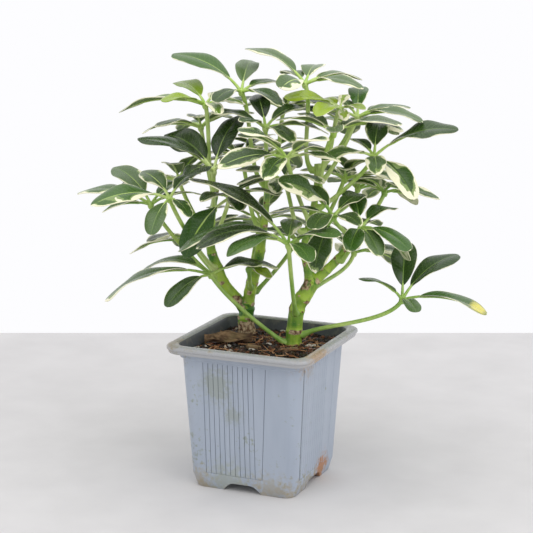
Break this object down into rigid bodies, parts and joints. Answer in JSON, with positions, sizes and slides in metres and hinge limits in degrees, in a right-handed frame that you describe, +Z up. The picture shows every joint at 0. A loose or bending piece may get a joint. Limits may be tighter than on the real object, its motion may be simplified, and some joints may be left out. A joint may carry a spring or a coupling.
{
  "type": "potted umbrella plant",
  "caption": "Small variegated umbrella plant with whorled leaves on forked green stems, rooted in a tapered square grey nursery pot.",
  "frame": {"origin": "centre of the pot's base, on the surface that it stands on", "axes": "+Z up; the pot's sides lie along X and Y, and -Y is the side seen most squarely"},
  "size_m": [0.2445, 0.1907, 0.255],
  "materials": {
    "pot_plastic": "moulded grey plastic with a satin sheen, scuffed at the rim and earth-stained at the feet",
    "potting_mix": "loose dark peat and bark, moist and matt",
    "green_stem": "smooth green bark with lime bands and tan scars, woody and rough at the foot",
    "variegated_leaf": "waxy dark green blade with irregular cream margins and a paler midrib",
    "young_leaf": "soft lime green young blade with a light gloss",
    "dry_litter": "dry brown leaf, bark and root bits, matt"
  },
  "bodies": {
    "root": {"bark_bit": "dry_litter", "dry_leaf": "dry_litter", "leaf_back_left": "variegated_leaf", "leaf_back_low": "variegated_leaf", "leaf_back_low_left": "variegated_leaf", "leaf_back_low_right": "variegated_leaf", "leaf_back_middle": "variegated_leaf", "leaf_back_right": "variegated_leaf", "leaf_back_top": "variegated_leaf", "leaf_back_top_left": "variegated_leaf", "leaf_back_top_right": "variegated_leaf", "leaf_crown_front": "variegated_leaf", "leaf_crown_upright": "variegated_leaf", "leaf_far_left": "variegated_leaf", "leaf_front": "variegated_leaf", "leaf_heart": "variegated_leaf", "leaf_inner_left": "variegated_leaf", "leaf_inner_low": "variegated_leaf", "leaf_inner_right": "variegated_leaf", "leaf_left": "variegated_leaf", "leaf_left_dark": "variegated_leaf", "leaf_left_inner": "variegated_leaf", "leaf_low_left": "variegated_leaf", "leaf_low_right": "variegated_leaf", "leaf_middle_front": "variegated_leaf", "leaf_middle_right": "variegated_leaf", "leaf_pale_right": "variegated_leaf", "leaf_right": "variegated_leaf", "leaf_top_back_left": "variegated_leaf", "leaf_top_left": "variegated_leaf", "leaf_top_middle": "variegated_leaf", "leaf_top_right": "variegated_leaf", "leaf_upper_right": "variegated_leaf", "leaf_young_inner": "young_leaf", "leaf_young_lime": "young_leaf", "left_stem": "green_stem", "pot": "pot_plastic", "right_stem": "green_stem", "root_left": "dry_litter", "root_right": "dry_litter", "soil": "potting_mix", "wood_chip": "dry_litter"}
  },
  "joints": []
}
